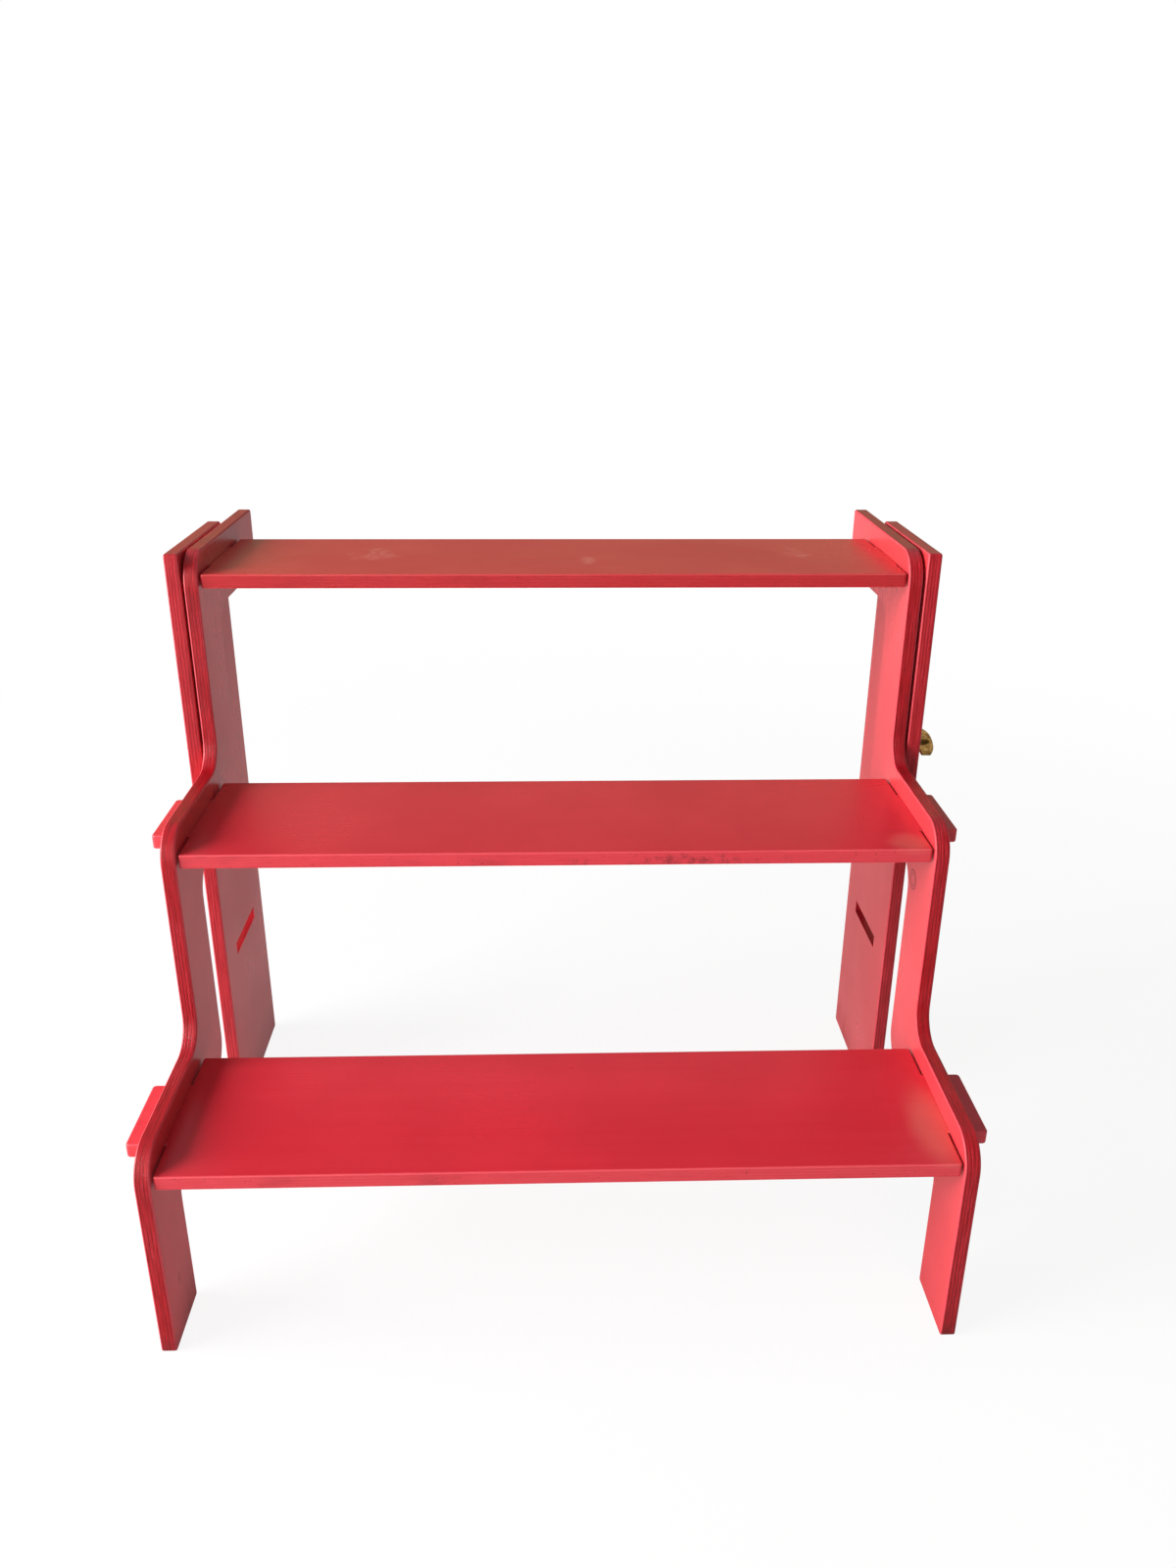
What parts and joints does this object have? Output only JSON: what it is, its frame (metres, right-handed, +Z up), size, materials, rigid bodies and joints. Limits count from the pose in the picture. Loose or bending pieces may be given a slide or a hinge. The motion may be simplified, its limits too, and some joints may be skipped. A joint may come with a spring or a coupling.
{
  "type": "tiered display stand",
  "caption": "Painted plywood display stand: stepped side panels, tabbed shelves in slots, and straight rear legs that swing on studs to pack flat.",
  "frame": {"origin": "on the floor, midway between the two side panels and midway between their front and rear edges. The wing nut stands out further than the nut on the left, so the overall box's middle lies 5.6 mm to the right of it.", "axes": "+X to the right, +Y from the front to the back, +Z up"},
  "size_m": [0.6812, 0.51, 0.56],
  "materials": {
    "red_paint": "satin crimson paint on plywood",
    "brass": "dull cast brass",
    "turned_brass": "smooth turned brass"
  },
  "bodies": {
    "right_panel": {"right_side_panel": "red_paint", "right_threaded_insert": "turned_brass", "right_pivot_stud": "turned_brass", "right_spacer_washer": "turned_brass"},
    "right_leg": {"right_rear_leg": "red_paint"},
    "right_nut": {"right_wing_nut": "brass", "right_outer_washer": "turned_brass"},
    "bottom_board": {"bottom_shelf": "red_paint"},
    "middle_board": {"middle_shelf": "red_paint"},
    "top_board": {"top_shelf": "red_paint"},
    "left_panel": {"left_side_panel": "red_paint", "left_threaded_insert": "turned_brass", "left_pivot_stud": "turned_brass", "left_spacer_washer": "turned_brass", "left_outer_washer": "turned_brass", "left_plain_nut": "turned_brass"},
    "left_leg": {"left_rear_leg": "red_paint"}
  },
  "joints": [
    {"name": "bottom_shelf_slide", "type": "slide", "parent": "right_panel", "child": "bottom_board", "axis": [-1, 0, 0], "range_m": [0, 0.04]},
    {"name": "middle_shelf_slide", "type": "slide", "parent": "right_panel", "child": "middle_board", "axis": [-1, 0, 0], "range_m": [0, 0.04]},
    {"name": "top_shelf_slide", "type": "slide", "parent": "right_panel", "child": "top_board", "axis": [-1, 0, 0], "range_m": [0, 0.04]},
    {"name": "left_panel_slide", "type": "slide", "parent": "bottom_board", "child": "left_panel", "axis": [-1, 0, 0], "range_m": [0, 0.04]},
    {"name": "right_leg_fold", "type": "hinge", "parent": "right_panel", "child": "right_leg", "pos_m": [0.3145, 0.075, 0.379], "axis": [-1, 0, 0], "range_deg": [0, 37]},
    {"name": "left_leg_fold", "type": "hinge", "parent": "left_panel", "child": "left_leg", "pos_m": [-0.3145, 0.075, 0.379], "axis": [-1, 0, 0], "range_deg": [0, 37]},
    {"name": "right_wing_nut_turn", "type": "hinge", "parent": "right_panel", "child": "right_nut", "pos_m": [0.3282, 0.075, 0.379], "axis": [1, 0, 0], "continuous": true}
  ],
  "couplings": [
    {"joint": "middle_shelf_slide", "follows": "bottom_shelf_slide", "ratio": 1},
    {"joint": "top_shelf_slide", "follows": "bottom_shelf_slide", "ratio": 1}
  ]
}
